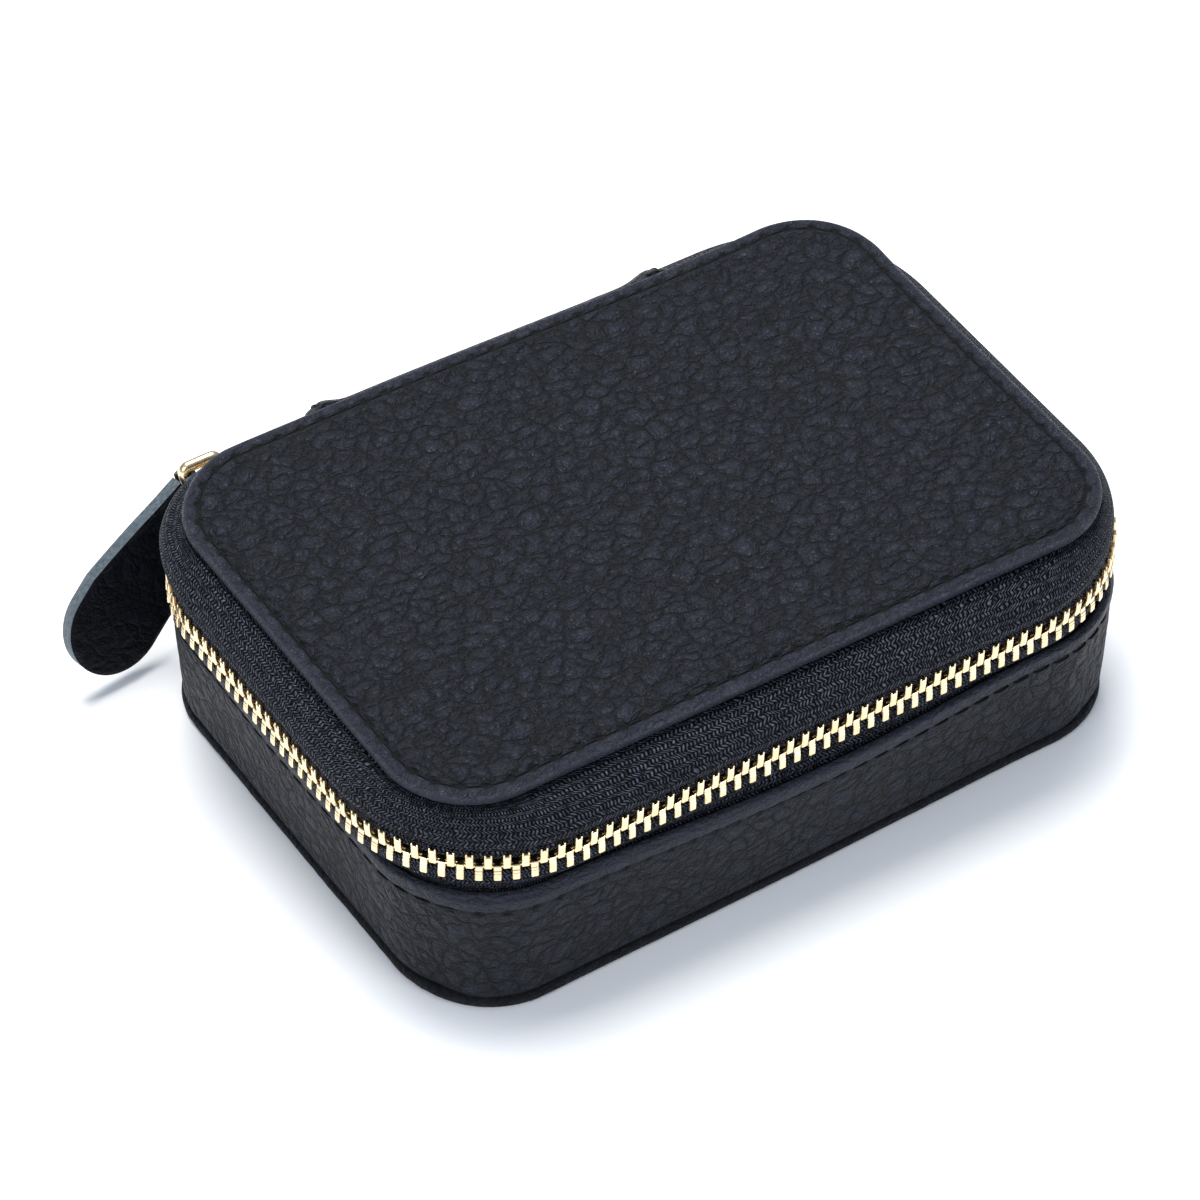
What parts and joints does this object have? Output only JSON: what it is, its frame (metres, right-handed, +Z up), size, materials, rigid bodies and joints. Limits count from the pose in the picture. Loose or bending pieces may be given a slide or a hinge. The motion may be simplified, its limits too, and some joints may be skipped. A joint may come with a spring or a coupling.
{
  "type": "jewellery case",
  "caption": "Zip-around travel jewellery case in black pebbled leather with a hinged lid, metal zip, slider with leather pull tab, ring rolls and compartments.",
  "frame": {"origin": "the flat underside of the base, under the middle of the case", "axes": "+X along the case's long side, -Y to the front where the zip opens, +Z up out of the lid panel"},
  "size_m": [0.1373, 0.0985, 0.04],
  "materials": {
    "leather": "pebbled, satin",
    "tape": "herringbone knit",
    "gold_metal": "pale gold, polished",
    "board": "grey board",
    "velvet": "velvet",
    "roll": "velvet, padded",
    "elastic": "ribbed elastic"
  },
  "bodies": {
    "case": {"base_bottom_leather": "leather", "base_wall_leather": "leather", "base_wall_board": "board", "base_floor_board": "board", "base_lining_wall": "velvet", "base_lining_floor": "velvet", "closed_end_tape_left": "tape", "closed_end_tape_right": "tape", "lower_tape": "tape", "lower_teeth": "gold_metal", "closed_end_teeth_left": "gold_metal", "closed_end_teeth_right": "gold_metal", "zip_stop_left": "gold_metal", "zip_stop_right": "gold_metal", "spine_lower": "leather", "partition_long": "velvet", "partition_cross": "velvet", "partition_short": "velvet", "ring_tray": "velvet", "ring_roll_1": "roll", "ring_roll_2": "roll", "ring_roll_3": "roll", "ring_roll_4": "roll"},
    "lid": {"upper_tape": "tape", "upper_teeth": "gold_metal", "spine_upper": "leather", "lid_panel_leather": "leather", "lid_board": "board", "lid_lining": "velvet", "lid_pocket": "velvet", "pocket_elastic": "elastic", "necklace_strap_1": "leather", "snap_cap_1": "gold_metal", "necklace_strap_2": "leather", "snap_cap_2": "gold_metal", "necklace_strap_3": "leather", "snap_cap_3": "gold_metal"},
    "slider": {"slider_outer": "gold_metal", "slider_inner": "gold_metal"},
    "link": {"puller_link": "gold_metal"},
    "tab": {"pull_tab": "leather"}
  },
  "joints": [
    {"name": "lid_hinge", "type": "hinge", "parent": "case", "child": "lid", "pos_m": [0, 0.0467, 0.0314], "axis": [-1, 0, 0], "range_deg": [0, 100]},
    {"name": "slider_travel", "type": "hinge", "parent": "case", "child": "slider", "pos_m": [-0.0394, 0.02046, 0.0286], "axis": [0, 0, 1], "range_deg": [0, 72]},
    {"name": "link_swing", "type": "hinge", "parent": "slider", "child": "link", "pos_m": [-0.04312, 0.04872, 0.0283], "axis": [-0.17, 0.19, 0.967], "range_deg": [-100, 0]},
    {"name": "tab_swing", "type": "hinge", "parent": "link", "child": "tab", "pos_m": [-0.04831, 0.0497, 0.02719], "axis": [-0.17, 0.19, 0.967], "range_deg": [-80, 0]}
  ]
}
